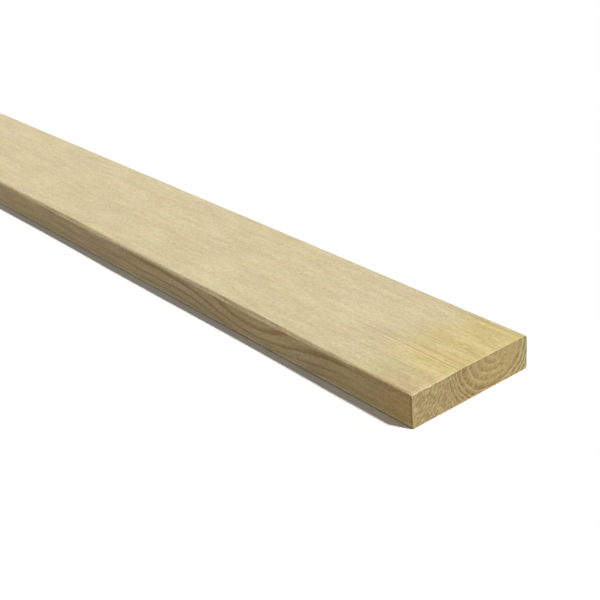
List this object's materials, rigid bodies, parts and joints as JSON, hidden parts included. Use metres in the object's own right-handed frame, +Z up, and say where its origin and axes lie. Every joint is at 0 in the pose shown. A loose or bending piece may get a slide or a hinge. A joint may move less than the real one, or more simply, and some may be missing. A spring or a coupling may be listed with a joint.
{
  "type": "timber plank",
  "caption": "Straight treated softwood plank of rectangular section, lying flat, with rounded long edges and a narrow strip of wane along part of one top edge.",
  "frame": {"origin": "under the middle of the plank, on the surface that it lies on", "axes": "+X along the plank, towards the cut end that the picture shows; +Y across the width, away from the waned edge; +Z up through the thickness"},
  "size_m": [2.4, 0.195, 0.047],
  "materials": {
    "treated_softwood": "sawn and regularised, matt, with a green-yellow preservative tint"
  },
  "bodies": {
    "root": {"plank": "treated_softwood"}
  },
  "joints": []
}
